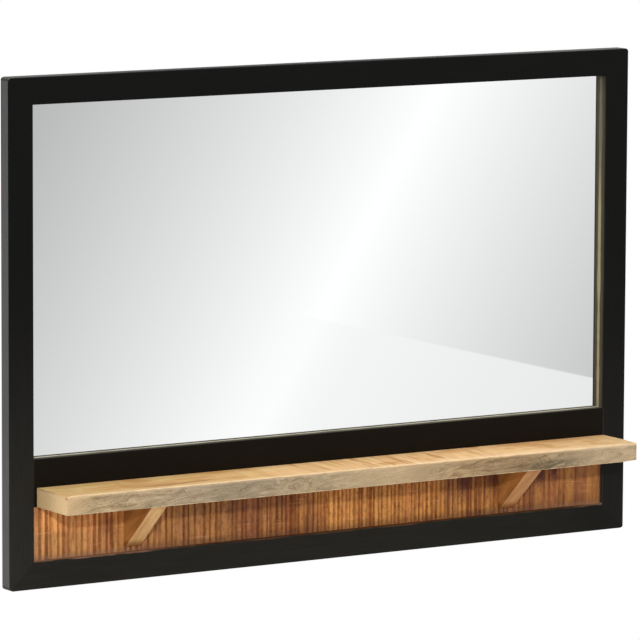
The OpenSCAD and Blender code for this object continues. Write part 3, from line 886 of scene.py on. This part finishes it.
def front_edge(tree, axes, low, high):
    """The shelf's front: grey-beige, with fine wavy grain that bends round a small knot,
    short strokes left by the saw, pale flecks, and darker mineral patches."""
    knot_right, knot_high, knot_squash = -0.083, -0.377, 0.45
    lines_up, lines_along, rings_out = 330, -30, 420      # growth lines in each metre
    from_knot_x = calc("SUBTRACT", axes["X"], knot_right)
    from_knot_z = calc("SUBTRACT", axes["Z"], knot_high)
    straight = times(from_knot_z, lines_up, times(from_knot_x, lines_along))
    ring = distance(times(from_knot_x, knot_squash), from_knot_z)
    near_knot = times(spot(axes, "Z", knot_right, knot_high, 24 * MM, 12 * MM), 0.6)
    level = times(near_knot, calc("SUBTRACT", times(ring, rings_out), straight), straight)
    level = times(noise(place_on(tree, (24, 40, 60)), 2.0), 5.5, level)
    slow = times(axes["X"], 32)
    wavy = noise(shade(tree, "CombineXYZ", {"X": slow, "Z": level}), 4.0, 0.6, 0.5)
    fine = noise(shade(tree, "CombineXYZ", {
        "X": times(slow, 2.4), "Z": times(level, 2.7)}), 4.0, 0.65, 0.4)
    cloud = noise(place_on(tree, (12, 11, 40), shift=(0.3, 0, 0)), 3.0, 0.5, 0.6)
    chatter = noise(place_on(tree, (480, 30, 90), (0, 0.75, 0)), 3.0, 0.65, 0.3)
    patch = noise(place_on(tree, (26, 20, 70), shift=(0.1, 0, 0)), 3.0, 0.6)
    mineral = noise(place_on(tree, (60, 60, 260), (0, 0.2, 0)), 5.0, 0.7, 1.2)
    fleck = noise(place_on(tree, (520, 520, 620)), 1.0)

    # The grain's own tone, with greyer clouds, dark lines and strokes, and pale flecks.
    wood = ramp(wavy, (
        (0.30, levels(132, 110, 80)), (0.43, levels(168, 144, 110)),
        (0.56, levels(188, 164, 130)), (0.72, levels(206, 184, 148))))
    wood = lay(wood, levels(152, 138, 110), cloud, 0.42, 0.66, 0.5)
    wood = lay(wood, levels(122, 100, 74), fine, 0.52, 0.60, 0.5)
    struck = times(rise(patch, 0.50, 0.62), 0.55)
    wood = lay(wood, levels(112, 94, 66), chatter, 0.53, 0.66, struck)
    wood = lay(wood, levels(222, 200, 166), fleck, 0.60, 0.72, 0.5)

    # The pale strip under the arris, the mineral patches, and the tone along the board.
    below_top = calc("SUBTRACT", high.z, axes["Z"])
    pale = times(rise(axes["X"], 0.08, 0.24), 0.45, 0.45)
    wood = lay(wood, levels(218, 190, 150), below_top, 4.5 * MM, 1.5 * MM, pale)
    gray_place = spot(axes, "Z", 0.266, -0.3815, 42 * MM, 5.5 * MM)
    stained = calc("MAXIMUM", times(rise(mineral, 0.60, 0.70), 0.5),
                   times(gray_place, rise(mineral, 0.38, 0.55)))
    wood = mix(times(stained, 0.75), wood, levels(98, 92, 70))
    along = shade(tree, "MapRange", {
        "Value": axes["X"], "From Min": low.x, "From Max": -low.x})
    wood = lay(wood, levels(210, 180, 144), along, 0.05, 0.0, 0.65)
    calm = gray_along(along, (0.44, 0.0), (0.50, 0.6), (0.60, 0.6), (0.66, 0.0),
                      (0.86, 0.0), (0.90, 0.5), (0.96, 0.3))
    wood = mix(calm, wood, levels(182, 158, 124))
    return tint(wood, ramp(along, (
        (0.0, (1.04, 0.98, 0.86, 1.0)), (0.19, (0.87, 0.89, 0.93, 1.0)),
        (0.31, (0.81, 0.81, 0.85, 1.0)), (0.44, (0.91, 0.92, 0.91, 1.0)),
        (0.56, (1.10, 1.07, 1.03, 1.0)), (0.69, (0.80, 0.72, 0.63, 1.0)),
        (0.81, (0.60, 0.54, 0.46, 1.0)), (0.90, (0.90, 0.88, 0.86, 1.0)),
        (0.96, (1.06, 1.06, 1.06, 1.0)))))


def raw_wood():
    """Raw pale wood: the sawn top, the greyer front edge, a paler arris between the two, a
    painted highlight along the lower front arris, and close end grain."""
    material, tree, surface = new_material("raw_shelf_wood", specular=0.3)
    low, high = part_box("shelf_board")
    axes = split(point_on(tree))
    faces = facing(tree)
    on_front = rise(faces["Y"], -0.60, -0.97)
    on_arris = times(rise(faces["Y"], -0.25, -0.50), rise(faces["Z"], 0.20, 0.45))
    painted_light_under = times(rise(faces["Y"], -0.10, -0.35), rise(faces["Z"], -0.12, -0.35))
    on_end = rise(calc("ABSOLUTE", faces["X"]), 0.5, 0.9)

    face, saw, stroke = sawn_face(tree, axes, low, high)
    pith = noise(place_on(tree, (400, 400, 400)), 4.0, 0.7)
    end = mix(pith, levels(230, 198, 148), levels(204, 168, 118))
    heart_y, heart_z = high.y + 10 * MM, low.z - 60 * MM      # the middle of the tree's rings
    ring = distance(calc("SUBTRACT", axes["Y"], heart_y), calc("SUBTRACT", axes["Z"], heart_z))
    ringed = noise(shade(tree, "CombineXYZ", {"X": times(ring, 420)}), 3.0, 0.6)
    end = lay(end, levels(184, 146, 98), ringed, 0.48, 0.62, 0.4)
    below_top = calc("SUBTRACT", high.z, axes["Z"])
    from_front = calc("SUBTRACT", axes["Y"], low.y)
    torn = times(rise(below_top, 2.0 * MM, 0.6 * MM), rise(pith, 0.36, 0.52))
    chipped = times(rise(below_top, 6 * MM, 3 * MM), rise(from_front, 7 * MM, 3 * MM))
    end = mix(times(calc("MAXIMUM", torn, chipped), 0.65), end, levels(136, 98, 56))
    arris_mottle = noise(place_on(tree, (60, 60, 60)), 3.0, 0.6)
    colour = mix(on_front, face, front_edge(tree, axes, low, high))
    colour = lay(colour, levels(226, 196, 152), arris_mottle, 0.34, 0.6, on_arris)
    # Painted highlight: the downward-facing lower front arris is paled.
    colour = lay(colour, levels(222, 198, 158), arris_mottle, 0.4, 0.6, painted_light_under)
    colour = mix(on_end, colour, end)
    finish(surface, colour, 0.62, times(saw, 0.8, stroke), 0.3 * MM, 0.55)
    return material


shelf = make_piece("shelf_plank", *closed_rings(sawn_shelf()), raw_wood(), "shelf_wood")
smooth_but_ends(shelf)
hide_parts("shelf_board")

# ---------- Brackets ----------
# Two solid wedges of the same wood, sanded, with the grain along the slope. Each stands
# upright against the ribs, is screwed from behind, and is doweled up into the shelf.

blunt = 3 * MM                            # width left at both tips of a wedge


def wedge_rings(low, high):
    """A wedge's rings: level on top, upright at the back and sloping in front, with both
    tips blunt, the lower one rounded off, and every edge eased."""
    corners = ((high.y, low.z), (high.y, high.z), (low.y, high.z), (low.y, high.z - blunt),
               (high.y - blunt, low.z))
    radii = (0.8 * MM, 0.8 * MM, 0.8 * MM, 1.2 * MM, 2.2 * MM)      # the foot's is the last
    outline = rounded_outline(corners, radii, 5, 4 * MM)
    return carried(outline, low.x, high.x, 0.5 * MM, 4 * MM)


def wedge_wood(name, face_light, face_dark, low, high):
    """Sanded wood with its grain along the slope: a pale face, and sides darker with painted
    shade, with fine lines that run with the slope, and painted shade at the foot."""
    material, tree, surface = new_material(name, specular=0.3)
    slope = math.atan2(high.z - low.z - blunt, high.y - low.y - blunt)
    lines = noise(place_on(tree, (300, 30, 520), (slope, 0, 0)), 4.0, 0.6, 0.5)
    soft = noise(place_on(tree, (60, 14, 90), (slope, 0, 0)), 3.0, 0.5, 0.4)
    fleck = noise(place_on(tree, (420, 420, 420)), 2.0, 0.6)
    on_side = rise(calc("ABSOLUTE", facing(tree)["X"]), 0.6, 0.95)
    soft = rise(soft, 0.3, 0.7)
    face = mix(soft, face_light, face_dark)
    face = lay(face, levels(170, 122, 70), fleck, 0.56, 0.70, 0.35)
    # Painted shade: the sides take a darker copy of the wood.
    side = mix(soft, levels(196, 136, 72), levels(158, 102, 50))
    # Painted shade darkens the foot.
    wedge_foot_shade = rise(split(point_on(tree))["Z"], low.z + 10 * MM, low.z + 3 * MM)
    colour = tint(mix(on_side, face, side), (0.50, 0.38, 0.28, 1.0), wedge_foot_shade)
    colour = lay(colour, levels(140, 88, 46), lines, 0.4, 0.75, 0.35)
    finish(surface, colour, 0.58, lines, 0.15 * MM, 0.5)
    return material


for side, light_tone, dark_tone in (
        ("left", levels(241, 193, 130), levels(208, 155, 95)),
        ("right", levels(216, 155, 97), levels(188, 130, 78))):
    low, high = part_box(side + "_bracket")
    wood = wedge_wood(side + "_wedge_wood", light_tone, dark_tone, low, high)
    wedge = make_piece(side + "_wedge", *closed_rings(wedge_rings(low, high)), wood,
                       "bracket_wood")
    smooth_but_ends(wedge)
    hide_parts(side + "_bracket")

# ---------- Hangers and screws ----------
# Two zinc-plated keyhole plates, let into the stiles' backs, and cross-slot wood screws of
# the same finish. The plating is mottled, and streaked along the plates.

zinc, tree, surface = new_material("zinc_plating")
spangle = shade(tree, "TexVoronoi", {
    "Vector": point_on(tree), "Scale": 420.0}).node.outputs["Color"]
blot = noise(place_on(tree, (160, 160, 160)), 4.0, 0.6)
brushed = noise(place_on(tree, (2600, 2600, 60)), 2.0)
plating = mix(spangle, levels(178, 180, 178), levels(206, 207, 202))
plating = lay(plating, levels(196, 188, 160), blot, 0.5, 0.8, 0.5)
finish(surface, plating, times(blot, 0.25, 0.24), brushed, 0.03 * MM, 0.4)
surface.inputs["Metallic"].default_value = 1.0
for metal in ("left_hanger_plate", "right_hanger_plate", "hanger_screws", "bracket_screws",
              "shelf_screws", "panel_screws", "back_board_screws"):
    dress(metal, zinc)
